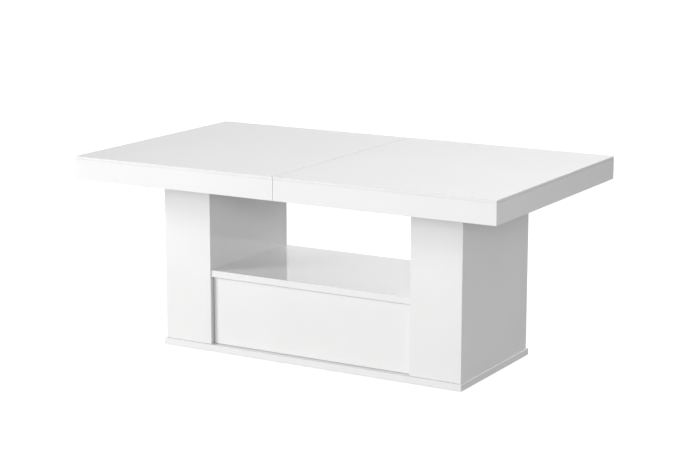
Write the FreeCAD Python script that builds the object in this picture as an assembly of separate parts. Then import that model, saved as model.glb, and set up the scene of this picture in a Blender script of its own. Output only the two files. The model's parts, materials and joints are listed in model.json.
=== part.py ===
import FreeCAD, Part
import math
import os

# Lift-top, extending coffee table in white lacquered board.
# Millimetres.  +X is the long way, -Y is the drawer side, +Z is up.
# The origin lies on the floor under the middle of the table.

V = FreeCAD.Vector
os.makedirs("parts", exist_ok=True)

# ---------------------------------------------------------------- driving dimensions
TOP_L = 1200.0          # length of the closed top
TOP_W = 700.0           # depth of the top
HEIGHT = 517.0          # floor to top face, lowered
SLAB_T = 60.0           # visible thickness of the top
BOARD = 18.0            # board used for the visible casework
LIP_T = 6.0             # edge of the top sheet that shows above the shadow line
GROOVE_H = 1.2          # shadow line between top sheet and apron
GROOVE_D = 2.0
SEAM = 1.5              # gap between the two halves when closed
EXTENSION = 250.0       # travel of each half

GLIDE_H = 1.5           # glides under the plinth
PLINTH_T = 18.0
PLINTH_X = 440.0        # half length
PLINTH_Y = 196.0        # half depth

PIL_OUT = 436.0         # outer face of each pillar, from the middle
PIL_IN = 294.0          # inner face of each pillar
PIL_Y = 189.0           # half depth of each pillar
PIL_TOP = 455.0
PIL_CX = (PIL_OUT + PIL_IN) / 2.0

COL_T = 12.0            # board of the sliding inner columns
COL_X = 51.0            # half width of a column
COL_Y = 158.0           # half depth of a column
LIFT = 220.0            # travel of the top

SHELF_Z = 217.5         # top face of the fixed shelf
SHELF_FRONT = -186.0
SHELF_BACK = 180.5

FRONT_X = 290.5         # half width of the drawer front
FRONT_Y = -178.0        # outer face of the drawer front
FRONT_Z0 = 20.2
FRONT_Z1 = 197.0
DRAWER_TRAVEL = 270.0
RUN_Z = 99.0            # height of the drawer runners

# derived levels
Z_PL = GLIDE_H + PLINTH_T            # 19.5, top of the plinth
Z_SLAB = HEIGHT - SLAB_T             # 457, underside of the aprons
Z_LIP = HEIGHT - LIP_T               # 511, underside of the lip
Z_TB = HEIGHT - BOARD                # 499, underside of the top boards
TUBE_H = 14.0
Z_BAR = Z_SLAB + TUBE_H              # 471, underside of the cross bars
BAR_H = 5.0
Z_REST = Z_BAR + BAR_H               # 476, where the stored leaf and the channels lie
TUBE_Y = 100.0
TUBE_W = 25.0
GEAR_Y = 50.0                        # pinion centre
GEAR_M = 1.25
GEAR_N = 16
GEAR_R = GEAR_M * GEAR_N / 2.0       # 10
CABLE_Z = 462.2
CABLE_R = 2.5
PADDLE_Y, PADDLE_Z = -270.0, 469.0
LEVER_Y, LEVER_Z = -10.0, 470.0


# ---------------------------------------------------------------- helpers
def box(x0, x1, y0, y1, z0, z1):
    x0, x1 = sorted((x0, x1))
    y0, y1 = sorted((y0, y1))
    z0, z1 = sorted((z0, z1))
    return Part.makeBox(x1 - x0, y1 - y0, z1 - z0, V(x0, y0, z0))


def cyl(r, p, d, length):
    return Part.makeCylinder(r, length, V(*p), V(*d))


def prism(points, base, along):
    """Closed polygon of 3-D points, extruded along a vector."""
    pts = [V(*base(p)) for p in points]
    face = Part.Face(Part.makePolygon(pts + [pts[0]]))
    return face.extrude(V(*along))


def fuse(shapes):
    out = shapes[0].fuse(shapes[1:]) if len(shapes) > 1 else shapes[0]
    return out.removeSplitter()


def cut(shape, tools):
    return shape.cut(tools if isinstance(tools, list) else [tools])


def fillet(shape, r, want):
    """Round the straight edges for which want(p, q) is true."""
    edges = []
    for e in shape.Edges:
        if len(e.Vertexes) == 2 and want(e.Vertexes[0].Point, e.Vertexes[1].Point):
            edges.append(e)
    return shape.makeFillet(r, edges) if edges else shape


def near(a, b, tol=0.01):
    return abs(a - b) < tol


def fillet_loop(shape, r, z):
    """Round every edge that lies in the level z."""
    return shape.makeFillet(r, [e for e in shape.Edges if all(near(v.Z, z) for v in e.Vertexes)])


def mirror_x(shape):
    return shape.mirror(V(0, 0, 0), V(1, 0, 0))


def mirror_y(shape):
    return shape.mirror(V(0, 0, 0), V(0, 1, 0))


def save(name, shapes):
    """Each file holds one or more separate closed solids."""
    solids = []
    for s in shapes if isinstance(shapes, list) else [shapes]:
        solids += s.Solids
    assert solids, name
    for s in solids:
        assert s.isValid() and s.isClosed() and s.Volume > 0, name
    out = solids[0] if len(solids) == 1 else Part.makeCompound(solids)
    out.exportStep("parts/" + name + ".step")


holes = {}              # node name -> list of cutting tools


def drill(node, tool):
    holes.setdefault(node, []).append(tool)


def drilled(node, shape):
    return cut(shape, holes[node]) if node in holes else shape


# ---------------------------------------------------------------- plinth, screws, glides
screws = []


def confirmat(x, y, panel):
    """Countersunk connecting screw up through the plinth into a panel's lower edge."""
    z = GLIDE_H
    shank = cyl(2.5, (x, y, z + 3.0), (0, 0, 1), 47.0)
    head = cyl(5.0, (x, y, z + 0.2), (0, 0, 1), 3.0)
    hexa = prism([(1.9 * math.cos(a * math.pi / 3), 1.9 * math.sin(a * math.pi / 3)) for a in range(6)],
                 lambda p: (x + p[0], y + p[1], z + 0.1), (0, 0, 2.0))
    screws.append(cut(fuse([shank, head]), hexa))
    drill("plinth_board", cyl(5.1, (x, y, z - 1), (0, 0, 1), 4.3))
    drill("plinth_board", cyl(2.6, (x, y, z), (0, 0, 1), 20.0))
    drill(panel, cyl(2.55, (x, y, Z_PL - 0.5), (0, 0, 1), z + 51.0 - Z_PL + 0.5))


for side, sx in (("left", -1), ("right", 1)):
    for y in (-120.0, 120.0):
        confirmat(sx * (PIL_IN + BOARD / 2), y, side + "_pillar_inner_panel")
        confirmat(sx * (PIL_OUT - BOARD / 2), y, side + "_pillar_outer_panel")
    confirmat(sx * PIL_CX, -(PIL_Y - BOARD / 2), side + "_pillar_front_panel")
    confirmat(sx * PIL_CX, PIL_Y - BOARD / 2, side + "_pillar_back_panel")
for x in (-200.0, 200.0):
    confirmat(x, 169.0, "compartment_back_panel")

# dowels between the shelf and the pillars' inner panels
dowels = []
for sx in (-1, 1):
    for y in (-120.0, 120.0):
        x0 = sx * (PIL_IN - 14.0)
        z = SHELF_Z - BOARD / 2
        d = cyl(4.0, (x0, y, z), (sx, 0, 0), 26.0)
        d = d.makeChamfer(0.8, [e for e in d.Edges if len(e.Vertexes) == 1])
        dowels.append(d)
        drill("shelf_board", cyl(4.05, (sx * (PIL_IN - 15.0), y, z), (sx, 0, 0), 16.0))
        drill(("left" if sx < 0 else "right") + "_pillar_inner_panel",
              cyl(4.05, (sx * (PIL_IN - 1.0), y, z), (sx, 0, 0), 14.0))

plinth = box(-PLINTH_X, PLINTH_X, -PLINTH_Y, PLINTH_Y, GLIDE_H, Z_PL)
plinth = fillet(plinth, 1.5, lambda p, q: near(p.z, q.z, 0.01) is False
                or (near(p.z, Z_PL) and near(q.z, Z_PL)))
plinth = fillet(plinth, 1.5, lambda p, q: near(p.z, GLIDE_H) and near(q.z, GLIDE_H)
                and (p - q).Length > 100)
save("plinth_board", drilled("plinth_board", plinth))
save("plinth_screws", screws)

glides = []
for x in (-410.0, -140.0, 140.0, 410.0):
    for y in (-165.0, 165.0):
        g = cyl(11.0, (x, y, 0.0), (0, 0, 1), GLIDE_H)
        glides.append(g.makeChamfer(0.5, [e for e in g.Edges if len(e.Vertexes) == 1 and near(e.Vertexes[0].Z, 0)]))
save("plinth_glides", glides)

# ---------------------------------------------------------------- pillars
# Each pillar is a mitred box of four boards.  The ring is rounded first, then
# parted along the mitres, so that the boards meet on the corner.
x0, x1 = PIL_IN, PIL_OUT
ring = box(x0, x1, -PIL_Y, PIL_Y, Z_PL, PIL_TOP)
ring = fillet(ring, 1.2, lambda p, q: not near(p.z, q.z))
ring = fillet_loop(ring, 0.8, Z_PL)
ring = cut(ring, box(x0 + BOARD, x1 - BOARD, -PIL_Y + BOARD, PIL_Y - BOARD, Z_PL - 1, PIL_TOP + 1))
M = 30.0


def wedge(pts):
    return prism(pts, lambda p: (p[0], p[1], Z_PL - 2), (0, 0, PIL_TOP - Z_PL + 4))


parts_of_ring = {
    "front_panel": wedge([(x0 - 2, -PIL_Y - 2), (x1 + 2, -PIL_Y - 2), (x1 - M, -PIL_Y + M), (x0 + M, -PIL_Y + M)]),
    "back_panel": wedge([(x0 - 2, PIL_Y + 2), (x1 + 2, PIL_Y + 2), (x1 - M, PIL_Y - M), (x0 + M, PIL_Y - M)]),
    "outer_panel": wedge([(x1 + 2, -PIL_Y - 2), (x1 + 2, PIL_Y + 2), (x1 - M, PIL_Y - M), (x1 - M, -PIL_Y + M)]),
    "inner_panel": wedge([(x0 - 2, -PIL_Y - 2), (x0 - 2, PIL_Y + 2), (x0 + M, PIL_Y - M), (x0 + M, -PIL_Y + M)]),
}
for part_name, w in parts_of_ring.items():
    panel = ring.common(w)
    save("right_pillar_" + part_name, drilled("right_pillar_" + part_name, panel))
    save("left_pillar_" + part_name, drilled("left_pillar_" + part_name, mirror_x(panel)))

# ---------------------------------------------------------------- shelf and the compartment under it
shelf = box(-PIL_IN, PIL_IN, SHELF_FRONT, SHELF_BACK, SHELF_Z - BOARD, SHELF_Z)
shelf = fillet(shelf, 1.0, lambda p, q: near(p.y, q.y) and near(p.z, q.z))
save("shelf_board", drilled("shelf_board", shelf))
back = box(-PIL_IN, PIL_IN, 160.0, 178.0, Z_PL, SHELF_Z - BOARD)
save("compartment_back_panel", drilled("compartment_back_panel", back))
save("shelf_dowels", dowels)

# rubber stops on the pillars' upper edges, under the frame's two long tubes
bumpers = []
for sx in (-1, 1):
    for xc in (PIL_IN + BOARD / 2, PIL_OUT - BOARD / 2):
        for y in (-TUBE_Y, TUBE_Y):
            bumpers.append(box(sx * (xc - 5), sx * (xc + 5), y - 9, y + 9, PIL_TOP, Z_SLAB))
save("lift_stop_bumpers", bumpers)

# ---------------------------------------------------------------- vertical guides of the columns
RAIL_Z0, RAIL_Z1 = 25.0, 425.0


def rail_c(y_web, y_tip, t, half_w, z0, z1):
    """C-section running up Z: web at y_web, flanges reaching to y_tip, about x = 0."""
    s = 1 if y_tip > y_web else -1
    web = box(-half_w, half_w, y_web, y_web + s * t, z0, z1)
    return fuse([web, box(-half_w, -half_w + t, y_web, y_tip, z0, z1), box(half_w - t, half_w, y_web, y_tip, z0, z1)])


outer_rail = rail_c(PIL_Y - BOARD, 161.5, 1.2, 22.5, RAIL_Z0, RAIL_Z1)
inner_rail = rail_c(COL_Y, 167.5, 1.2, 17.0, RAIL_Z0 + 2, RAIL_Z1 + 2)
cage_bits = [box(-19.7, 19.7, 168.2, 169.2, 140.0, 310.0)]
for s in (-1, 1):
    cage_bits.append(box(s * 18.6, s * 19.7, 162.5, 169.2, 140.0, 310.0))
cage = fuse(cage_bits)
balls = []
for s in (-1, 1):
    for i in range(7):
        balls.append(Part.makeSphere(2.0, V(s * 19.15, 164.6, 153.0 + 24.0 * i)))
cage = fuse([cage] + balls)


def four(shape):
    """The same piece at the front and back of both columns."""
    out = []
    for sx in (-1, 1):
        right = shape.translated(V(sx * PIL_CX, 0, 0))
        out += [right, mirror_y(right)]
    return out


save("pillar_guide_rails", four(outer_rail))
save("column_guide_rails", four(inner_rail))
save("guide_ball_cages", four(cage))

# ---------------------------------------------------------------- inner columns
col_bottom = 24.0
for side, sx in (("left", -1), ("right", 1)):
    c = sx * PIL_CX
    boards = [
        fillet(box(c - COL_X, c - COL_X + COL_T, -COL_Y, COL_Y, col_bottom, Z_SLAB), 1.0,
               lambda p, q: near(p.x, c - COL_X) and near(q.x, c - COL_X) and not near(p.z, q.z)),
        fillet(box(c + COL_X - COL_T, c + COL_X, -COL_Y, COL_Y, col_bottom, Z_SLAB), 1.0,
               lambda p, q: near(p.x, c + COL_X) and near(q.x, c + COL_X) and not near(p.z, q.z)),
        box(c - COL_X + COL_T, c + COL_X - COL_T, -COL_Y, -COL_Y + COL_T, col_bottom, Z_SLAB),
        box(c - COL_X + COL_T, c + COL_X - COL_T, COL_Y - COL_T, COL_Y, col_bottom, Z_SLAB),
    ]
    save(side + "_column_panels", boards)

BOLT_DX = 25.0
BAR_X = (-412.0, -150.0, 150.0, 412.0)
BAR_BOLT_Y = (-273.0, -TUBE_Y, TUBE_Y, 273.0)
plates, bolts = [], []
tube_holes = {-1: [], 1: []}
for x in BAR_X:
    for y in BAR_BOLT_Y:
        if abs(y) < 200:             # flush screw through the bar into the tube's upper wall
            screw = fuse([cyl(2.5, (x, y, Z_BAR - 4.0), (0, 0, 1), 8.9)])
            tube_holes[int(math.copysign(1, y))].append(cyl(2.52, (x, y, Z_BAR - 3.0), (0, 0, 1), 6.0))
        else:                        # low button screw up through the bar into the channel's floor
            screw = fuse([cyl(2.5, (x, y, Z_BAR), (0, 0, 1), BAR_H + 2.4), cyl(4.5, (x, y, Z_BAR - 2.2), (0, 0, 1), 2.2)])
            socket = prism([(1.5 * math.cos(a * math.pi / 3), 1.5 * math.sin(a * math.pi / 3)) for a in range(6)],
                           lambda p: (x + p[0], y + p[1], Z_BAR - 3.0), (0, 0, 2.2))
            screw = cut(screw, socket)
        bolts.append(screw)
for sx in (-1, 1):
    c = sx * PIL_CX
    plate = box(c - COL_X + COL_T, c + COL_X - COL_T, -COL_Y + COL_T, COL_Y - COL_T, Z_SLAB - BOARD, Z_SLAB)
    tools = [cyl(6.5, (c, 0, Z_SLAB - BOARD - 1), (0, 0, 1), BOARD + 2)]
    for sy in (-1, 1):
        for dx in (-BOLT_DX, BOLT_DX):
            x, y = c + dx, sy * TUBE_Y
            tools.append(cyl(3.05, (x, y, Z_SLAB - 15.0), (0, 0, 1), 16.0))
            tube_holes[sy].append(cyl(3.3, (x, y, Z_SLAB - 1), (0, 0, 1), TUBE_H + 2))
            bolt = fuse([cyl(3.0, (x, y, Z_SLAB - 14.0), (0, 0, 1), TUBE_H + 14.0),
                         cyl(5.5, (x, y, Z_BAR), (0, 0, 1), 3.0)])
            socket = prism([(2.0 * math.cos(a * math.pi / 3), 2.0 * math.sin(a * math.pi / 3)) for a in range(6)],
                           lambda p: (x + p[0], y + p[1], Z_BAR + 1.2), (0, 0, 3.0))
            bolts.append(cut(bolt, socket))
    plates.append(cut(plate, tools))
save("column_top_plates", plates)
save("lift_frame_bolts", bolts)

# ---------------------------------------------------------------- lift frame
tubes = []
for sy in (-1, 1):
    y = sy * TUBE_Y
    t = box(-PIL_OUT, PIL_OUT, y - TUBE_W / 2, y + TUBE_W / 2, Z_SLAB, Z_BAR)
    t = fillet(t, 1.5, lambda p, q: near(p.y, q.y) and near(p.z, q.z))
    t = cut(t, box(-PIL_OUT - 1, PIL_OUT + 1, y - TUBE_W / 2 + 1.5, y + TUBE_W / 2 - 1.5, Z_SLAB + 1.5, Z_BAR - 1.5))
    tools = list(tube_holes[sy])
    if sy < 0:
        for sx in (-1, 1):
            tools.append(cyl(3.5, (sx * PIL_CX, y - TUBE_W, CABLE_Z), (0, 1, 0), 2 * TUBE_W))
    tubes.append(cut(t, tools))
save("lift_frame_long_tubes", tubes)
bars = []
for x in BAR_X:
    bar = box(x - 15, x + 15, -286.0, 286.0, Z_BAR, Z_REST)
    bar = fillet(bar, 4.0, lambda p, q: near(p.x, q.x) and near(p.y, q.y))
    bars.append(cut(bar, [cyl(2.55, (x, y, Z_BAR - 1), (0, 0, 1), 8) for y in BAR_BOLT_Y]))
save("lift_frame_cross_bars", bars)

# ---------------------------------------------------------------- gas springs
cylinders, rods, feet, heads, levers, pins = [], [], [], [], [], []
for sx in (-1, 1):
    c = sx * PIL_CX
    # foot: a plate with two ears and a cross pin
    foot = fuse([box(c - 26, c + 26, -20, 20, Z_PL, Z_PL + 3),
                 box(c - 11, c + 11, -10.0, -6.5, Z_PL, Z_PL + 26),
                 box(c - 11, c + 11, 6.5, 10.0, Z_PL, Z_PL + 26)])
    foot = fillet(foot, 8.0, lambda p, q: near(p.z, Z_PL + 26) and near(q.z, Z_PL + 26)
                  and near(p.x, q.x) and abs(p.y - q.y) < 4)
    foot = cut(foot, [cyl(4.0, (c, -15, Z_PL + 17), (0, 1, 0), 30)]
               + [cyl(2.3, (c + dx, dy, Z_PL - 1), (0, 0, 1), 6) for dx in (-20, 20) for dy in (-14, 14)])
    pin = fuse([cyl(3.95, (c, -12.5, Z_PL + 17), (0, 1, 0), 25.0), cyl(6.0, (c, -12.5, Z_PL + 17), (0, 1, 0), 2.4)])
    feet += [foot, pin]
    # cylinder with an eye at its lower end, and a rod guide in its upper end
    tube = cyl(11.0, (c, 0, 48.0), (0, 0, 1), 380.0)
    tube = tube.makeFillet(1.5, [e for e in tube.Edges if len(e.Vertexes) == 1])
    eye = fuse([cyl(8.5, (c, -5.5, Z_PL + 17), (0, 1, 0), 11.0), box(c - 6, c + 6, -5.5, 5.5, Z_PL + 17, 50.0), tube])
    eye = cut(eye, [cyl(4.05, (c, -15, Z_PL + 17), (0, 1, 0), 30),
                    cyl(9.0, (c, 0, 52.0), (0, 0, 1), 363.0),
                    cyl(5.07, (c, 0, 414.0), (0, 0, 1), 20.0)])
    cylinders.append(eye)
    # rod and piston; its upper end is held in the release head
    rod = fuse([cyl(8.93, (c, 0, 180.0), (0, 0, 1), 12.0), cyl(5.0, (c, 0, 190.0), (0, 0, 1), 270.0)])
    rods.append(cut(rod, cyl(2.07, (c, 0, 430.0), (0, 0, 1), 40.0)))
    pin = cyl(2.0, (c, 0, 442.0), (0, 0, 1), LEVER_Z - 1.6 - 442.0)
    pins.append(pin.makeFillet(0.5, [e for e in pin.Edges if len(e.Vertexes) == 1 and near(e.Vertexes[0].Z, LEVER_Z - 1.6)]))
    # release head: block with a bore for the rod and a slot for the bell crank
    head = box(c - 26, c + 26, -20, 20, Z_SLAB, 473.0)
    head = fillet(head, 3.0, lambda p, q: not near(p.z, q.z))
    head = cut(head, [cyl(5.0, (c, 0, Z_SLAB - 1), (0, 0, 1), 4.0),
                      cyl(2.3, (c, 0, Z_SLAB), (0, 0, 1), 8.0),
                      fuse([box(c - 4, c + 4, -16.0, -4.2, 459.3, 474.0), box(c - 4, c + 4, -6, 12.0, 463.5, 474.0)]),
                      cyl(1.2, (c, -21, CABLE_Z), (0, 1, 0), 8.0),
                      cyl(1.5, (c - 16, LEVER_Y, LEVER_Z), (1, 0, 0), 32.0)])
    crank_pin = cyl(1.5, (c - 16, LEVER_Y, LEVER_Z), (1, 0, 0), 32.0)
    heads += [head, crank_pin]
    # bell crank: pulled at its lower arm, presses the release pin with its upper arm
    hub = cyl(2.9, (c - 3.4, LEVER_Y, LEVER_Z), (1, 0, 0), 6.8)
    down = box(c - 3.4, c + 3.4, LEVER_Y - 1.6, LEVER_Y + 1.6, 460.4, LEVER_Z)
    over = box(c - 3.4, c + 3.4, LEVER_Y, 2.5, LEVER_Z - 1.4, LEVER_Z + 2.4)
    crank = cut(fuse([hub, down, over]), [cyl(1.55, (c - 5, LEVER_Y, LEVER_Z), (1, 0, 0), 10.0),
                                          box(c - 1.3, c + 1.3, LEVER_Y - 4, LEVER_Y + 4, 460.0, 465.0)])
    levers += [crank, cyl(1.8, (c - 3.0, LEVER_Y + 1.6 + 1.8, CABLE_Z), (1, 0, 0), 6.0)]
save("gas_spring_cylinders", cylinders)
save("gas_spring_rods", rods)
save("gas_spring_foot_brackets", feet)
save("gas_spring_release_heads", heads)
save("gas_spring_release_pins", pins)
save("release_levers", levers)

# ---------------------------------------------------------------- release paddle, its bracket and cables
plate = box(-50, 50, -283.0, -262.0, Z_REST - 2.5, Z_REST)
bracket = [plate]
for s in (-1, 1):
    bracket.append(box(s * 47.5, s * 50, -281.0, -259.0, 460.0, Z_REST))
stop = box(-22, 22, -243.0, -240.5, 458.0, Z_REST)
bracket += [stop, box(-22, 22, -262.5, -240.5, Z_REST - 2.5, Z_REST)]
bracket = fuse(bracket)
bracket = cut(bracket, [cyl(3.0, (-60, PADDLE_Y, PADDLE_Z), (1, 0, 0), 120.0),
                        cyl(1.3, (-14, -250, CABLE_Z), (0, 1, 0), 20.0),
                        cyl(1.3, (14, -250, CABLE_Z), (0, 1, 0), 20.0)])
pivot = fuse([cyl(2.95, (-51.0, PADDLE_Y, PADDLE_Z), (1, 0, 0), 103.0),
              cyl(4.5, (-53.0, PADDLE_Y, PADDLE_Z), (1, 0, 0), 2.0)])
save("release_paddle_bracket", [bracket, pivot])

barrel = cyl(4.4, (-46.5, PADDLE_Y, PADDLE_Z), (1, 0, 0), 93.0)
blade = prism([(PADDLE_Y, PADDLE_Z + 1.0), (PADDLE_Y - 10, 464.6), (PADDLE_Y - 50, 461.6), (PADDLE_Y - 52, 462.4),
               (PADDLE_Y - 52, 464.4), (PADDLE_Y - 50, 464.8), (PADDLE_Y - 10, 468.4), (PADDLE_Y, PADDLE_Z + 4.4)],
              lambda p: (-44.0, p[0], p[1]), (88.0, 0, 0))
blade = fillet(blade, 8.0, lambda p, q: p.y < PADDLE_Y - 51.5 and q.y < PADDLE_Y - 51.5 and near(p.x, q.x))
arms = [box(s * 14 - 4, s * 14 + 4, PADDLE_Y - 2.5, PADDLE_Y + 2.5, CABLE_Z - 2.4, PADDLE_Z) for s in (-1, 1)]
paddle = cut(fuse([barrel, blade] + arms), [cyl(3.05, (-60, PADDLE_Y, PADDLE_Z), (1, 0, 0), 120.0)]
             + [box(s * 14 - 1.3, s * 14 + 1.3, PADDLE_Y - 4, PADDLE_Y + 4, CABLE_Z - 3, CABLE_Z + 1.6) for s in (-1, 1)])
save("release_paddle", paddle)

# Bowden cables, one to each release head.  Straight runs joined by tangent arcs.
cables = []
R = 45.0
for sx in (-1, 1):
    xa, xb, yr = sx * 14.0, sx * PIL_CX, -180.0
    k = R * (1 - math.cos(math.pi / 4))
    p = [V(xa, -240.5, CABLE_Z), V(xa, yr - R, CABLE_Z), V(xa + sx * k, yr - k, CABLE_Z), V(xa + sx * R, yr, CABLE_Z),
         V(xb - sx * R, yr, CABLE_Z), V(xb - sx * k, yr + k, CABLE_Z), V(xb, yr + R, CABLE_Z), V(xb, -20.0, CABLE_Z)]
    wire = Part.Wire([Part.LineSegment(p[0], p[1]).toShape(), Part.Arc(p[1], p[2], p[3]).toShape(),
                      Part.LineSegment(p[3], p[4]).toShape(), Part.Arc(p[4], p[5], p[6]).toShape(),
                      Part.LineSegment(p[6], p[7]).toShape()])
    section = Part.Wire([Part.makeCircle(CABLE_R, p[0], V(0, 1, 0))])
    sheath = wire.makePipeShell([section], True, False)
    length = wire.Length
    core_a = cyl(0.8, (xa, PADDLE_Y - 2.4, CABLE_Z), (0, 1, 0), -PADDLE_Y + 2.4 - 240.5 + 2.0)
    core_b = cyl(0.8, (xb, -22.0, CABLE_Z), (0, 1, 0), 11.1)
    cable = fuse([sheath, core_a, core_b])
    print("cable length", round(length, 1), "volume ratio", round(sheath.Volume / (math.pi * CABLE_R ** 2 * length), 4))
    cables.append(cable)
save("release_cables", cables)

# ---------------------------------------------------------------- extension channels and rails
Z_C0, Z_C1 = Z_REST, Z_REST + 22.0
channel_section = [(262.0, Z_C0), (284.0, Z_C0), (284.0, Z_C0 + 6.0), (282.0, Z_C0 + 6.0), (282.0, Z_C0 + 2.5),
                   (264.5, Z_C0 + 2.5), (264.5, Z_C1 - 2.5), (282.0, Z_C1 - 2.5), (282.0, Z_C1 - 6.0),
                   (284.0, Z_C1 - 6.0), (284.0, Z_C1), (262.0, Z_C1)]
rear_channel = prism(channel_section, lambda p: (-430.0, p[0], p[1]), (860.0, 0, 0))
rear_channel = cut(rear_channel, [cyl(2.52, (x, 273.0, Z_C0 - 1), (0, 0, 1), 5) for x in BAR_X])
save("extension_channels", [rear_channel, mirror_y(rear_channel)])

rail_section = [(265.3, Z_C0 + 3.2), (281.2, Z_C0 + 3.2), (281.2, Z_C0 + 7.2), (292.0, Z_C0 + 7.2), (292.0, Z_TB - 3.0),
                (312.0, Z_TB - 3.0), (312.0, Z_TB), (286.5, Z_TB), (286.5, Z_C1 - 7.2), (281.2, Z_C1 - 7.2),
                (281.2, Z_C1 - 3.2), (265.3, Z_C1 - 3.2)]
RAIL_X0, RAIL_X1 = 60.0, 575.0
rear_rail = prism(rail_section, lambda p: (RAIL_X0, p[0], p[1]), (RAIL_X1 - RAIL_X0, 0, 0))
rear_rail = cut(rear_rail, [cyl(2.2, (x, 303.0, Z_TB - 5), (0, 0, 1), 8) for x in (100.0, 250.0, 400.0, 545.0)])
right_rails = [rear_rail, mirror_y(rear_rail)]
save("right_extension_rails", right_rails)
save("left_extension_rails", [mirror_x(s) for s in right_rails])

# ---------------------------------------------------------------- rack and pinion that keep the halves in step
RACK_Z0, RACK_Z1 = 459.6, 465.6
PITCH = math.pi * GEAR_M
PRESS = math.radians(20.0)
PLAY = 0.14                          # taken off each flank


def pinion_shape():
    rb = GEAR_R * math.cos(PRESS)
    ro, rr = GEAR_R + GEAR_M * 0.95, GEAR_R - GEAR_M * 1.3
    inv = math.tan(PRESS) - PRESS
    half = (math.pi * GEAR_M / 2 / 2 - PLAY) / GEAR_R        # half tooth angle at the pitch circle
    pts = []
    for t in range(GEAR_N):
        mid = math.pi / 2 + 2 * math.pi * t / GEAR_N
        flank = []
        for i in range(7):
            r = rb + (ro - rb) * i / 6.0
            a = math.acos(min(1.0, rb / r))
            flank.append((r, half + inv - (math.tan(a) - a)))
        right = [(rr, half + inv)] + flank
        for r, a in right:
            pts.append((r * math.cos(mid - a), r * math.sin(mid - a)))
        for r, a in reversed(right):
            pts.append((r * math.cos(mid + a), r * math.sin(mid + a)))
    body = prism(pts, lambda p: (p[0], GEAR_Y + p[1], RACK_Z0), (0, 0, RACK_Z1 - RACK_Z0))
    return cut(body, cyl(3.05, (0, GEAR_Y, RACK_Z0 - 1), (0, 0, 1), 10))


def rack_shape():
    """Rack on the +Y side of the pinion, toothed from x = -16 to 266, fixed to the left half."""
    y_pitch = GEAR_Y + GEAR_R
    add, ded = GEAR_M * 0.95, GEAR_M * 1.25
    y_tip, y_root, y_back = y_pitch - add, y_pitch + ded, y_pitch + ded + 5.0
    pts = [(-560.0, y_back), (-560.0, y_root)]
    n0, n1 = -4, 67
    for n in range(n0, n1 + 1):
        xc = (n + 0.5) * PITCH                       # a space is centred on x = 0
        hp = PITCH / 4 - PLAY
        hr = hp + ded * math.tan(PRESS)
        ht = hp - add * math.tan(PRESS)
        pts += [(xc - hr, y_root), (xc - ht, y_tip), (xc + ht, y_tip), (xc + hr, y_root)]
    pts += [(270.0, y_root), (270.0, y_back)]
    bar = prism(pts, lambda p: (p[0], p[1], RACK_Z0), (0, 0, RACK_Z1 - RACK_Z0))
    riser = box(-560.0, -554.0, y_root, y_back, RACK_Z0, Z_TB)
    foot = box(-560.0, -520.0, y_root - 8, y_back + 8, Z_TB - 3.0, Z_TB)
    piece = fuse([bar, riser, foot])
    return cut(piece, [cyl(2.2, (-532.0, y, Z_TB - 5), (0, 0, 1), 8) for y in (y_root - 3.5, y_back + 3.5)])


left_rack = rack_shape()
save("left_sync_rack", left_rack)
right_rack = left_rack.copy()
right_rack.rotate(V(0, GEAR_Y, 0), V(0, 0, 1), 180)
save("right_sync_rack", right_rack)
save("sync_pinion", pinion_shape())

bridge = [box(-20, 20, -TUBE_Y + TUBE_W / 2, TUBE_Y - TUBE_W / 2, Z_SLAB, Z_SLAB + 2.0)]
half_w = GEAR_R + GEAR_M * 1.25 + 5.0
for s in (-1, 1):
    bridge.append(box(-20, 20, GEAR_Y + s * (half_w + 0.5), GEAR_Y + s * (half_w + 3.5), Z_SLAB, Z_SLAB + 9.5))
bridge.append(cyl(3.0, (0, GEAR_Y, Z_SLAB), (0, 0, 1), 10.2))
save("sync_gear_bridge", fuse(bridge))

# ---------------------------------------------------------------- the two halves of the top
hx0, hx1 = SEAM / 2, TOP_L / 2
hy = TOP_W / 2
# apron ring of the right half, open towards the seam
ap = box(hx0, hx1, -hy, hy, Z_SLAB, Z_LIP)
ap = fillet(ap, 1.2, lambda p, q: (near(p.x, hx1) and near(q.x, hx1) and not near(p.z, q.z)))
ap = fillet(ap, 0.9, lambda p, q: near(p.z, Z_SLAB) and near(q.z, Z_SLAB)
            and not (near(p.x, hx0) and near(q.x, hx0)) and (p - q).Length > 20)
groove = cut(box(hx0 - 5, hx1 + 5, -hy - 5, hy + 5, Z_LIP - GROOVE_H, Z_LIP + 1),
             box(hx0 - 6, hx1 - GROOVE_D, -hy + GROOVE_D, hy - GROOVE_D, Z_LIP - GROOVE_H - 1, Z_LIP + 2))
ap = cut(ap, [box(hx0 - 5, hx1 - BOARD, -hy + BOARD, hy - BOARD, Z_SLAB - 1, Z_LIP + 1), groove])


def slab_wedge(pts):
    return prism(pts, lambda p: (p[0], p[1], Z_SLAB - 2), (0, 0, Z_LIP - Z_SLAB + 4))


aprons = {
    "front_apron": slab_wedge([(hx0 - 2, -hy - 2), (hx1 + 2, -hy - 2), (hx1 - M, -hy + M), (hx0 - 2, -hy + M)]),
    "rear_apron": slab_wedge([(hx0 - 2, hy + 2), (hx1 + 2, hy + 2), (hx1 - M, hy - M), (hx0 - 2, hy - M)]),
    "end_apron": slab_wedge([(hx1 + 2, -hy - 2), (hx1 + 2, hy + 2), (hx1 - M, hy - M), (hx1 - M, -hy + M)]),
}
for part_name, w in aprons.items():
    piece = ap.common(w)
    save("right_" + part_name, piece)
    save("left_" + part_name, mirror_x(piece))

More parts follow.
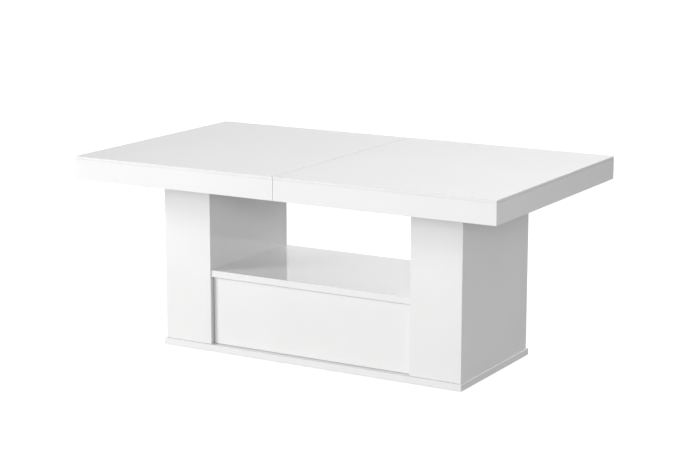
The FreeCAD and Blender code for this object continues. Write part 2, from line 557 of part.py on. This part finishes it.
# rebated top board: its lip covers the aprons' upper edges
lip = box(hx0, hx1, -hy, hy, Z_LIP, HEIGHT)
lip = fillet(lip, 1.2, lambda p, q: near(p.x, hx1) and near(q.x, hx1) and not near(p.z, q.z))
lip = fillet(lip, 0.8, lambda p, q: near(p.z, HEIGHT) and near(q.z, HEIGHT)
             and not (near(p.x, hx0) and near(q.x, hx0)) and (p - q).Length > 20)
lip = fillet(lip, 0.5, lambda p, q: near(p.z, HEIGHT) and near(q.z, HEIGHT)
             and near(p.x, hx0) and near(q.x, hx0))
core = box(hx0, hx1 - BOARD, -hy + BOARD, hy - BOARD, Z_TB, Z_LIP)
board = fuse([lip, core])
PEG_Y = (-250.0, 0.0, 250.0)
PEG_Z = Z_TB + 8.0
right_board = cut(board, [cyl(4.02, (hx0 - 1, y, PEG_Z), (1, 0, 0), 16.0) for y in PEG_Y])
left_board = cut(mirror_x(board), [cyl(4.3, (-hx0 + 1, y, PEG_Z), (-1, 0, 0), 11.0) for y in PEG_Y])
save("right_top_board", right_board)
save("left_top_board", left_board)
pegs = []
for y in PEG_Y:
    p = cyl(4.0, (hx0 + 14.0, y, PEG_Z), (-1, 0, 0), 14.0 + SEAM + 7.5)
    pegs.append(p.makeChamfer(1.0, [e for e in p.Edges if len(e.Vertexes) == 1]))
save("top_alignment_pegs", pegs)

# ---------------------------------------------------------------- extension leaf, stowed under the top
leaf = box(-350.0, 350.0, -250.0, 250.0, Z_REST, Z_REST + BOARD)
leaf = fillet(leaf, 0.8, lambda p, q: near(p.z, q.z))
leaf = cut(leaf, [cyl(4.3, (x, -251.0, Z_REST + 8.0), (0, 1, 0), 11.0) for x in (-250.0, 0.0, 250.0)]
           + [cyl(4.02, (x, 251.0, Z_REST + 8.0), (0, -1, 0), 15.0) for x in (-250.0, 0.0, 250.0)])
save("extension_leaf", leaf)
leaf_pegs = []
for x in (-250.0, 0.0, 250.0):
    p = cyl(4.0, (x, 237.0, Z_REST + 8.0), (0, 1, 0), 21.0)
    leaf_pegs.append(p.makeChamfer(1.0, [e for e in p.Edges if len(e.Vertexes) == 1]))
save("leaf_pegs", leaf_pegs)

# ---------------------------------------------------------------- drawer
SIDE_X0, SIDE_X1 = 269.0, 281.0
D_Y0, D_Y1 = FRONT_Y + BOARD, 120.0
front = box(-FRONT_X, FRONT_X, FRONT_Y, D_Y0, FRONT_Z0, FRONT_Z1)
front = fillet(front, 1.0, lambda p, q: near(p.y, FRONT_Y) and near(q.y, FRONT_Y))
front = cut(front, box(-274.0, 274.0, D_Y0 - 5.2, D_Y0 + 1, 43.9, 50.1))
save("drawer_front", front)
sides = []
for s in (-1, 1):
    side = box(s * SIDE_X0, s * SIDE_X1, D_Y0, D_Y1, 38.0, 160.0)
    side = cut(side, box(s * (SIDE_X0 - 1), s * (SIDE_X0 + 5.0), D_Y0 - 1, D_Y1 + 1, 43.9, 50.1))
    sides.append(side)
save("drawer_sides", sides)
save("drawer_back", box(-SIDE_X0, SIDE_X0, D_Y1 - 12.0, D_Y1, 50.1, 160.0))
save("drawer_bottom", box(-SIDE_X0 - 4.8, SIDE_X0 + 4.8, D_Y0 - 5.0, D_Y1, 44.0, 50.0))

# three-member ball-bearing runners, shown here for the right side
ry0, ry1 = -158.0, 122.0


def run_box(xa, xb, za, zb, ya=ry0, yb=ry1):
    return box(xa, xb, ya, yb, RUN_Z + za, RUN_Z + zb)


cab = fuse([run_box(PIL_IN - 1.2, PIL_IN, -22.5, 22.5), run_box(PIL_IN - 9.5, PIL_IN, 21.3, 22.5),
            run_box(PIL_IN - 9.5, PIL_IN, -22.5, -21.3)])
mid = fuse([run_box(286.8, 288.0, -17.6, 17.6, ry0 + 1, ry1 - 1), run_box(283.0, 291.8, 16.4, 17.6, ry0 + 1, ry1 - 1),
            run_box(283.0, 291.8, -17.6, -16.4, ry0 + 1, ry1 - 1)])
dra = fuse([run_box(281.0, 282.2, -12.7, 12.7), run_box(281.0, 286.0, 11.5, 12.7), run_box(281.0, 286.0, -12.7, -11.5)])
save("drawer_runner_cabinet_members", [cab, mirror_x(cab)])
save("drawer_runner_middle_members", [mid, mirror_x(mid)])
save("drawer_runner_drawer_members", [dra, mirror_x(dra)])

# ---------------------------------------------------------------- push-to-open latch
LATCH_Z = 26.5
housing = box(-11.0, 11.0, -152.0, -92.0, Z_PL, 33.0)
housing = fillet(housing, 3.0, lambda p, q: near(p.x, q.x) and near(p.y, q.y))
lugs = [box(s * 10, s * 19, -130.0, -114.0, Z_PL, Z_PL + 3.0) for s in (-1, 1)]
housing = cut(fuse([housing] + lugs), [cyl(4.1, (0, -160.0, LATCH_Z), (0, 1, 0), 61.0)]
              + [cyl(1.8, (s * 15, -122.0, Z_PL - 1), (0, 0, 1), 6) for s in (-1, 1)])
save("push_latch_housing", housing)
plunger = cyl(4.0, (0, -159.5, LATCH_Z), (0, 1, 0), 55.0)
plunger = plunger.makeFillet(1.2, [e for e in plunger.Edges if len(e.Vertexes) == 1 and e.Vertexes[0].Y < -150])
save("push_latch_plunger", plunger)

print("nodes", len([f for f in os.listdir("parts") if f.endswith(".step")]))
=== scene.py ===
import json
import math

import bmesh
import bpy
from mathutils import Matrix, Vector


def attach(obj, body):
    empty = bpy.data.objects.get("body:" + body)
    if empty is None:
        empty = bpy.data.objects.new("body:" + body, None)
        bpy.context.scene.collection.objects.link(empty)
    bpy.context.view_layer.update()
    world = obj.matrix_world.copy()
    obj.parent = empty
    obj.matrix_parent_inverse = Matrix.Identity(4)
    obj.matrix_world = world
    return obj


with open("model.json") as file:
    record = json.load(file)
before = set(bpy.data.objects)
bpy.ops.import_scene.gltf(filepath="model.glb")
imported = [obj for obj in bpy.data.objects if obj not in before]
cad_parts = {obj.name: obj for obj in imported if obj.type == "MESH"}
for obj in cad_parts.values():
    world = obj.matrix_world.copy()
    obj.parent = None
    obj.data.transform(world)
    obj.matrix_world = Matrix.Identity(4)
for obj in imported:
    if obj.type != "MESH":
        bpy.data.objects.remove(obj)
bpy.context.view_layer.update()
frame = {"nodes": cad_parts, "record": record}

NODES = frame["nodes"]

# ---------------------------------------------------------------- camera
# Looks at the table from the front right, a little above the top.
CAM_AZ, CAM_EL = -0.528, 0.204
CAM_POS = (2.375, -4.109, 1.317)
CAM_LENS = 99.5

cam_data = bpy.data.cameras.new("camera")
cam = bpy.data.objects.new("camera", cam_data)
bpy.context.scene.collection.objects.link(cam)
cam_data.lens = CAM_LENS
cam_data.sensor_width = 36.0
cam_data.clip_start = 0.05
cam_data.clip_end = 60.0
forward = Vector((math.sin(CAM_AZ) * math.cos(CAM_EL), math.cos(CAM_AZ) * math.cos(CAM_EL), -math.sin(CAM_EL)))
cam.location = CAM_POS
cam.rotation_mode = "QUATERNION"
cam.rotation_quaternion = forward.to_track_quat("-Z", "Y")
bpy.context.scene.camera = cam

# ---------------------------------------------------------------- light
# A pale studio.  The walls glow softly: (axis, sign, band, radiance); "low" hugs the horizon, "high" lies above it.
WALLS = (("X", 1, "low", 1.02), ("Y", -1, "high", 0.39), ("Y", 1, "high", 3.50))
# Soft boxes: name, degrees to the right of the front, degrees up, metres away, width, height, watts.
BOXES = (
    ("key_low", -50, 6, 7.5, 2.6, 1.1, 278.0),
    ("key_high", -50, 24, 7.5, 2.6, 1.6, 188.0),
    ("right", 30, 14, 7.5, 2.6, 1.6, 186.0),
)
FLOOR_GLOW = 0.055


def link(tree, a, b):
    tree.links.new(a, b)


world = bpy.data.worlds.new("studio")
bpy.context.scene.world = world
world.use_nodes = True
wt = world.node_tree
wt.nodes.clear()
coord = wt.nodes.new("ShaderNodeTexCoord")
split = wt.nodes.new("ShaderNodeSeparateXYZ")
link(wt, coord.outputs["Generated"], split.inputs[0])


def wmath(op, a, b=None):
    n = wt.nodes.new("ShaderNodeMath")
    n.operation = op
    for i, v in enumerate((a, b)):
        if v is None:
            continue
        if isinstance(v, (int, float)):
            n.inputs[i].default_value = v
        else:
            link(wt, v, n.inputs[i])
    return n.outputs[0]


band = {"low": wmath("MAXIMUM", wmath("SUBTRACT", 1.0, wmath("MULTIPLY", wmath("ABSOLUTE", split.outputs["Z"]), 2.5)), 0.0)}
band["high"] = wmath("SUBTRACT", 1.0, band["low"])
total = None
for axis, sign, where, strength in WALLS:
    c = wmath("MAXIMUM", wmath("MULTIPLY", split.outputs[axis], float(sign)), 0.0)
    lobe = wmath("MULTIPLY", wmath("MULTIPLY", wmath("MULTIPLY", c, c), band[where]), strength)
    total = lobe if total is None else wmath("ADD", total, lobe)
path = wt.nodes.new("ShaderNodeLightPath")
keep = wmath("SUBTRACT", 1.0, path.outputs["Is Camera Ray"])
seen = wmath("ADD", wmath("MULTIPLY", total, keep), wmath("MULTIPLY", path.outputs["Is Camera Ray"], 1.0))
bg = wt.nodes.new("ShaderNodeBackground")
bg.inputs["Color"].default_value = (1.0, 1.0, 1.0, 1.0)
link(wt, seen, bg.inputs["Strength"])
wout = wt.nodes.new("ShaderNodeOutputWorld")
link(wt, bg.outputs[0], wout.inputs["Surface"])

for name, turn, up, away, w, h, power in BOXES:
    d = bpy.data.lights.new(name, "AREA")
    d.shape = "RECTANGLE"
    d.size, d.size_y, d.energy = w, h, power
    o = bpy.data.objects.new(name, d)
    bpy.context.scene.collection.objects.link(o)
    t, u = math.radians(turn), math.radians(up)
    o.location = (away * math.cos(u) * math.sin(t), -away * math.cos(u) * math.cos(t), 0.3 + away * math.sin(u))
    o.rotation_mode = "QUATERNION"
    o.rotation_quaternion = (Vector((0.0, -0.1, 0.3)) - o.location).to_track_quat("-Z", "Y")
    o.visible_camera = False
    o.visible_glossy = False

bpy.context.scene.view_settings.view_transform = "Standard"
bpy.context.scene.view_settings.look = "None"
bpy.context.scene.view_settings.exposure = 0.0
bpy.context.scene.view_settings.gamma = 1.0


# ---------------------------------------------------------------- materials
class Mat:
    """A node material.  Textures run on object coordinates, in metres."""

    def __init__(self, name, color, metallic=0.0, rough=0.5, **fixed):
        self.m = bpy.data.materials.new(name)
        self.m.use_nodes = True
        self.t = self.m.node_tree
        self.b = self.t.nodes["Principled BSDF"]
        self.b.inputs["Base Color"].default_value = (*color, 1.0)
        self.b.inputs["Metallic"].default_value = metallic
        self.b.inputs["Roughness"].default_value = rough
        for k, v in fixed.items():
            self.b.inputs[k.replace("_", " ")].default_value = v
        self.m.diffuse_color = (*color, 1.0)
        self.tc = self.t.nodes.new("ShaderNodeTexCoord")

    def coords(self, scale=(1, 1, 1)):
        n = self.t.nodes.new("ShaderNodeMapping")
        n.inputs["Scale"].default_value = scale
        link(self.t, self.tc.outputs["Object"], n.inputs["Vector"])
        return n.outputs[0]

    def noise(self, scale, detail=3.0, rough=0.5, stretch=(1, 1, 1), distortion=0.0):
        n = self.t.nodes.new("ShaderNodeTexNoise")
        n.inputs["Scale"].default_value = scale
        n.inputs["Detail"].default_value = detail
        n.inputs["Roughness"].default_value = rough
        n.inputs["Distortion"].default_value = distortion
        link(self.t, self.coords(stretch), n.inputs["Vector"])
        return n.outputs["Fac"]

    def voronoi(self, scale, stretch=(1, 1, 1)):
        n = self.t.nodes.new("ShaderNodeTexVoronoi")
        n.inputs["Scale"].default_value = scale
        link(self.t, self.coords(stretch), n.inputs["Vector"])
        return n.outputs["Distance"]

    def remap(self, value, lo, hi, a=0.3, b=0.7):
        n = self.t.nodes.new("ShaderNodeMapRange")
        n.inputs["From Min"].default_value = a
        n.inputs["From Max"].default_value = b
        n.inputs["To Min"].default_value = lo
        n.inputs["To Max"].default_value = hi
        link(self.t, value, n.inputs["Value"])
        return n.outputs["Result"]

    def math(self, op, a, b):
        n = self.t.nodes.new("ShaderNodeMath")
        n.operation = op
        for i, v in enumerate((a, b)):
            if isinstance(v, (int, float)):
                n.inputs[i].default_value = v
            else:
                link(self.t, v, n.inputs[i])
        return n.outputs[0]

    def ramp(self, value, stops):
        n = self.t.nodes.new("ShaderNodeValToRGB")
        r = n.color_ramp
        while len(r.elements) < len(stops):
            r.elements.new(0.5)
        for e, (p, c) in zip(r.elements, stops):
            e.position = p
            e.color = (*c, 1.0)
        link(self.t, value, n.inputs["Fac"])
        return n.outputs["Color"]

    def set(self, socket, value):
        link(self.t, value, self.b.inputs[socket])
        return self

    def bump(self, height, distance, strength=1.0, chain=None):
        n = self.t.nodes.new("ShaderNodeBump")
        n.inputs["Strength"].default_value = strength
        n.inputs["Distance"].default_value = distance
        link(self.t, height, n.inputs["Height"])
        if chain is not None:
            link(self.t, chain, n.inputs["Normal"])
        return n.outputs["Normal"]


def near_white(v, warm=0.0):
    return (v, v - 0.002 - warm * 0.5, v - 0.004 - warm)


def make_lacquer():
    # Polished white lacquer: a faint orange peel under a clear coat, slight cloudiness in tone and polish.
    m = Mat("white_lacquer", near_white(0.83), rough=0.40, IOR=1.5, Specular_IOR_Level=0.2,
            Coat_Weight=0.85, Coat_Roughness=0.045, Coat_IOR=1.5)
    m.set("Base Color", m.ramp(m.noise(5.0, 4.0, 0.55), [(0.30, near_white(0.818)), (0.70, near_white(0.836))]))
    haze = m.math("ADD", m.math("MULTIPLY", m.noise(9.0, 5.0, 0.6), 0.7), m.math("MULTIPLY", m.noise(140.0, 2.0), 0.3))
    m.set("Roughness", m.remap(haze, 0.36, 0.44))
    peel = m.noise(210.0, 1.5, 0.4)
    wave = m.noise(2.4, 1.0, 0.3)
    m.set("Normal", m.bump(wave, 0.0001, chain=m.bump(peel, 0.000008)))
    m.set("Coat Normal", m.bump(wave, 0.0001, chain=m.bump(peel, 0.000003)))
    return m.m


def make_melamine():
    # Matt white facing with the fine pearl grain that is pressed into it.
    m = Mat("white_melamine", near_white(0.78), rough=0.5, IOR=1.5)
    m.set("Base Color", m.ramp(m.noise(900.0, 2.0, 0.6), [(0.35, near_white(0.755)), (0.65, near_white(0.79))]))
    m.set("Roughness", m.remap(m.noise(420.0, 3.0), 0.42, 0.60))
    m.set("Normal", m.bump(m.noise(650.0, 3.0, 0.6), 0.00008))
    return m.m


def make_steel(name, color, stretch, dark=0.82):
    # Zinc plate: cloudy tone and fine rolling lines.
    m = Mat(name, color, metallic=1.0, rough=0.34)
    d = tuple(c * dark for c in color)
    spangle = m.math("ADD", m.math("MULTIPLY", m.voronoi(160.0), 0.45), m.math("MULTIPLY", m.noise(60.0, 4.0), 0.6))
    m.set("Base Color", m.ramp(spangle, [(0.25, d), (0.75, color)]))
    lines = m.noise(600.0, 4.0, 0.65, stretch)
    m.set("Roughness", m.remap(m.math("ADD", m.math("MULTIPLY", lines, 0.5), m.math("MULTIPLY", spangle, 0.5)), 0.24, 0.46))
    m.set("Normal", m.bump(lines, 0.00003))
    return m.m


def make_powder():
    # Black powder coat: fine grained texture.
    m = Mat("black_powder_coat", (0.018, 0.018, 0.02), rough=0.48, IOR=1.5)
    m.set("Base Color", m.ramp(m.noise(80.0, 4.0), [(0.3, (0.015, 0.015, 0.017)), (0.7, (0.026, 0.026, 0.028))]))
    grain = m.noise(1500.0, 2.0, 0.5)
    m.set("Roughness", m.remap(m.noise(240.0, 3.0), 0.40, 0.58))
    m.set("Normal", m.bump(grain, 0.00006, chain=m.bump(m.noise(500.0, 2.0), 0.00004)))
    return m.m


def make_aluminium():
    # Anodised extrusion: drawing lines run along X.
    m = Mat("anodised_aluminium", (0.72, 0.73, 0.74), metallic=1.0, rough=0.36)
    lines = m.noise(1400.0, 3.0, 0.7, (0.004, 1, 1))
    m.set("Base Color", m.ramp(lines, [(0.3, (0.66, 0.67, 0.68)), (0.7, (0.75, 0.76, 0.77))]))
    m.set("Roughness", m.remap(lines, 0.28, 0.44))
    m.set("Normal", m.bump(lines, 0.00002))
    return m.m


def make_chrome():
    m = Mat("hard_chrome", (0.70, 0.71, 0.73), metallic=1.0, rough=0.09)
    rings = m.noise(1800.0, 2.0, 0.5, (0.05, 0.05, 1))
    m.set("Roughness", m.remap(rings, 0.06, 0.14))
    m.set("Base Color", m.ramp(m.noise(30.0, 3.0), [(0.3, (0.66, 0.67, 0.70)), (0.7, (0.74, 0.75, 0.77))]))
    m.set("Normal", m.bump(rings, 0.000008))
    return m.m


def make_plastic(name, a, b, rough=(0.42, 0.56), grain=0.00004):
    m = Mat(name, b, rough=0.5, IOR=1.46)
    m.set("Base Color", m.ramp(m.noise(70.0, 3.0), [(0.3, a), (0.7, b)]))
    m.set("Roughness", m.remap(m.noise(350.0, 3.0), *rough))
    m.set("Normal", m.bump(m.noise(1100.0, 2.0), grain))
    return m.m


def make_rubber():
    m = Mat("black_rubber", (0.028, 0.028, 0.028), rough=0.82, IOR=1.5)
    m.set("Base Color", m.ramp(m.noise(120.0, 4.0), [(0.3, (0.020, 0.020, 0.020)), (0.7, (0.038, 0.037, 0.036))]))
    m.set("Roughness", m.remap(m.noise(400.0, 3.0), 0.72, 0.92))
    m.set("Normal", m.bump(m.noise(900.0, 3.0), 0.0001))
    return m.m


def make_beech():
    # Turned beech: pale, with short dark flecks along the grain.
    m = Mat("beech", (0.56, 0.38, 0.22), rough=0.55, IOR=1.5)
    grain = m.noise(420.0, 5.0, 0.6, (0.12, 0.12, 1), 0.3)
    flecks = m.noise(1600.0, 2.0, 0.5, (0.08, 0.5, 0.5))
    mix = m.math("ADD", m.math("MULTIPLY", grain, 0.6), m.math("MULTIPLY", flecks, 0.4))
    m.set("Base Color", m.ramp(mix, [(0.30, (0.40, 0.24, 0.12)), (0.48, (0.55, 0.37, 0.21)), (0.70, (0.63, 0.45, 0.28))]))
    m.set("Roughness", m.remap(mix, 0.48, 0.66))
    m.set("Normal", m.bump(mix, 0.00008))
    return m.m


MATS = {
    "white_lacquer": make_lacquer(),
    "white_melamine": make_melamine(),
    "zinc_steel": make_steel("zinc_steel", (0.60, 0.61, 0.63), (1, 0.03, 1)),
    "zinc_steel_z": make_steel("zinc_steel_upright", (0.60, 0.61, 0.63), (1, 1, 0.03)),
    "black_steel": make_powder(),
    "chrome_rod": make_chrome(),
    "aluminium": make_aluminium(),
    "black_plastic": make_plastic("black_plastic", (0.020, 0.020, 0.022), (0.032, 0.032, 0.034)),
    "grey_plastic": make_plastic("grey_acetal", (0.17, 0.175, 0.18), (0.21, 0.215, 0.22), (0.34, 0.46), 0.00002),
    "rubber": make_rubber(),
    "beech": make_beech(),
    "spring_wire": make_steel("spring_wire", (0.34, 0.34, 0.35), (1, 1, 1), 0.7),
}
UPRIGHT = ("pillar_guide_rails", "column_guide_rails", "guide_ball_cages")

for sub in frame["record"]["subparts"]:
    node, slot = sub["node"], sub["material_slot"]
    mat = MATS["zinc_steel_z" if node in UPRIGHT else slot]
    obj = NODES[node]
    if not obj.material_slots:
        obj.data.materials.append(mat)
    for s in obj.material_slots:
        s.material = mat

# ---------------------------------------------------------------- small fittings
# Fittings too small for the solid model: screw heads, runner balls, end caps, cable ends and grip ribs.
class Fitting:
    """Gathers turned and extruded bits in one mesh.  Millimetres in, metres out."""

    def __init__(self, name, body, slot_name, material=None):
        self.name, self.body, self.slot_name = name, body, slot_name
        self.material = MATS[material or slot_name]
        self.bm = bmesh.new()

    @staticmethod
    def place(at, axis):
        turn = Vector(axis).to_track_quat("Z", "Y").to_matrix().to_4x4()
        return Matrix.Translation(Vector(at) * 0.001) @ turn @ Matrix.Scale(0.001, 4)

    def turned(self, profile, at, axis, seg=24):
        """Profile of (radius, height, hex) from the base up; a hex radius is measured across the corners."""
        m = self.place(at, axis)
        rings = []
        for r, h, *six in profile:
            if r < 1e-6:
                rings.append([self.bm.verts.new(m @ Vector((0, 0, h)))])
                continue
            ring = []
            for i in range(seg):
                a = 2 * math.pi * i / seg
                rad = r
                if six and six[0]:
                    off = (a % (math.pi / 3)) - math.pi / 6
                    rad = r * math.cos(math.pi / 6) / math.cos(off)
                ring.append(self.bm.verts.new(m @ Vector((rad * math.cos(a), rad * math.sin(a), h))))
            rings.append(ring)
        for lower, upper in zip(rings, rings[1:]):
            for i in range(seg):
                j = (i + 1) % seg
                if len(lower) == 1:
                    self.bm.faces.new((lower[0], upper[j], upper[i]))
                elif len(upper) == 1:
                    self.bm.faces.new((lower[i], lower[j], upper[0]))
                else:
                    self.bm.faces.new((lower[i], lower[j], upper[j], upper[i]))

    def screw(self, at, axis, r=3.8, h=1.7, sunk=False):
        dome = [(r, 0.0), (r * 0.99, h * 0.25), (r * 0.90, h * 0.62), (r * 0.72, h * 0.88), (r * 0.52, h)]
        if sunk:
            dome = [(r, 0.0), (r, h * 0.6), (r * 0.93, h), (r * 0.52, h)]
        self.turned([(0.0, 0.0)] + dome + [(r * 0.42, h, True), (r * 0.40, h * 0.35, True), (0.0, h * 0.3)], at, axis)

    def ball(self, at, r):
        n = 8
        pts = [(r * math.sin(math.pi * i / n), -r * math.cos(math.pi * i / n)) for i in range(n + 1)]
        pts[0], pts[-1] = (0.0, -r), (0.0, r)
        self.turned(pts, at, (0, 0, 1), seg=16)

    def extruded(self, outline, at, axis, h, edge=0.4):
        """Closed outline in the local XY plane, with a small chamfer at its far end."""
        m = self.place(at, axis)
        cx = sum(p[0] for p in outline) / len(outline)
        cy = sum(p[1] for p in outline) / len(outline)
        size = max(max(abs(p[0] - cx), abs(p[1] - cy)) for p in outline)
        shrink = 1.0 - edge / size
        levels = ((1.0, 0.0), (1.0, h - edge), (shrink, h))
        rings = [[self.bm.verts.new(m @ Vector((cx + (x - cx) * k, cy + (y - cy) * k, z))) for x, y in outline]
                 for k, z in levels]
        n = len(outline)
        for lower, upper in zip(rings, rings[1:]):
            for i in range(n):
                self.bm.faces.new((lower[i], lower[(i + 1) % n], upper[(i + 1) % n], upper[i]))
        self.bm.faces.new(list(reversed(rings[0])))
        self.bm.faces.new(rings[-1])

    def done(self):
        bmesh.ops.recalc_face_normals(self.bm, faces=self.bm.faces)
        mesh = bpy.data.meshes.new(self.name)
        self.bm.to_mesh(mesh)
        self.bm.free()
        for p in mesh.polygons:
            p.use_smooth = True
        mesh.set_sharp_from_angle(angle=math.radians(38))
        mesh.materials.append(self.material)
        o = bpy.data.objects.new(self.name, mesh)
        bpy.context.scene.collection.objects.link(o)
        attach(o, self.body)
        return o


def round_rect(w, h, r, n=5):
    pts = []
    for cx, cy, a0 in ((w / 2 - r, h / 2 - r, 0), (-w / 2 + r, h / 2 - r, 90), (-w / 2 + r, -h / 2 + r, 180), (w / 2 - r, -h / 2 + r, 270)):
        for i in range(n + 1):
            a = math.radians(a0 + 90.0 * i / n)
            pts.append((cx + r * math.cos(a), cy + r * math.sin(a)))
    return pts


# screws that hold the extension rails and racks up to the two boards
for side, sx in (("left", -1), ("right", 1)):
    f = Fitting(side + "_rail_screws", "top_" + side, "zinc_steel")
    for x in (100.0, 250.0, 400.0, 545.0):
        for y in (-303.0, 303.0):
            f.screw((sx * x, y, 496.0), (0, 0, -1))
    for y in ((58.06, 70.06) if sx < 0 else (41.94, 29.94)):
        f.screw((sx * 532.0, y, 496.0), (0, 0, -1), r=3.2, h=1.5)
    f.done()

# countersunk screws down the guide rails of the two columns
f = Fitting("column_rail_screws", "lift", "zinc_steel")
for sx in (-1, 1):
    for sy in (-1, 1):
        for z in (52.0, 116.0, 180.0, 244.0, 308.0, 372.0, 412.0):
            f.screw((sx * 365.0, sy * 159.2, z), (0, sy, 0), r=4.2, h=0.8, sunk=True)
f.done()

# screws through the drawer members of the runners, and the balls the middle members roll on
f = Fitting("drawer_runner_screws", "drawer", "zinc_steel")
for sx in (-1, 1):
    for y in (-140.0, -60.0, 20.0, 100.0):
        f.screw((sx * 282.2, y, 99.0), (sx, 0, 0), r=3.4, h=1.5)
f.done()
f = Fitting("drawer_runner_balls", "runner_middles", "zinc_steel")
for sx in (-1, 1):
    for sz in (-1, 1):
        for i in range(10):
            f.ball((sx * 284.5, -148.0 + 12.0 * i, 99.0 + sz * 14.55), 1.75)
            f.ball((sx * 288.0, -12.0 + 12.0 * i, 99.0 + sz * 19.45), 1.75)
f.done()

# plastic caps in the ends of the frame's long tubes
f = Fitting("frame_tube_caps", "lift", "black_plastic")
for sx in (-1, 1):
    for y in (-100.0, 100.0):
        f.extruded(round_rect(24.4, 13.4, 1.8), (sx * 436.0, y, 464.0), (sx, 0, 0), 1.8, 0.5)
f.done()

# crimped ends of the release cables' sheaths
f = Fitting("cable_ferrules", "lift", "black_plastic")
crimp = [(0.0, 0.0), (3.1, 0.0), (3.2, 0.3), (3.2, 2.6), (2.85, 3.0), (2.85, 3.8), (3.2, 4.2), (3.2, 6.4), (2.85, 6.8),
         (2.85, 7.6), (3.15, 8.0), (3.0, 9.6), (2.5, 10.2)]
for sx in (-1, 1):
    f.turned(crimp, (sx * 14.0, -240.5, 462.2), (0, 1, 0))
    f.turned(crimp, (sx * 365.0, -20.0, 462.2), (0, -1, 0))
f.done()

# grip ribs under the blade of the release paddle
f = Fitting("paddle_grip_ribs", "paddle", "black_plastic")
rib = [(0.75 * math.cos(math.pi * i / 8), 0.75 * math.sin(math.pi * i / 8)) for i in range(9)]
for i in range(6):
    y = -317.0 + 4.5 * i
    z = 461.6 + (y + 320.0) * 0.075
    verts = [[f.bm.verts.new(Vector((x, y + a, z + 0.12 - b)) * 0.001) for a, b in rib] for x in (-34.0, 34.0)]
    for j in range(8):
        f.bm.faces.new((verts[0][j], verts[0][j + 1], verts[1][j + 1], verts[1][j]))
    for v in verts:
        f.bm.faces.new(v)
    f.bm.faces.new((verts[0][0], verts[0][8], verts[1][8], verts[1][0]))
f.done()

# ---------------------------------------------------------------- stage
fm = bpy.data.meshes.new("floor")
bm = bmesh.new()
bmesh.ops.create_grid(bm, x_segments=2, y_segments=2, size=12.0)
bm.to_mesh(fm)
bm.free()
floor = bpy.data.objects.new("floor", fm)
bpy.context.scene.collection.objects.link(floor)
floor_mat = Mat("pale_floor", (0.50, 0.50, 0.50), rough=0.9)
floor_mat.set("Base Color", floor_mat.ramp(floor_mat.noise(0.6, 2.0), [(0.3, (0.495, 0.495, 0.495)), (0.7, (0.505, 0.505, 0.505))]))
floor_mat.b.inputs["Specular IOR Level"].default_value = 0.0
floor_mat.b.inputs["Emission Color"].default_value = (1.0, 1.0, 1.0, 1.0)
# seen straight on the floor is nearly white; as a bounce it only gives back the studio's light
floor_path = floor_mat.t.nodes.new("ShaderNodeLightPath")
floor_mat.set("Emission Strength", floor_mat.math("ADD", floor_mat.math("MULTIPLY", floor_path.outputs["Is Camera Ray"], 0.76), FLOOR_GLOW))
fm.materials.append(floor_mat.m)
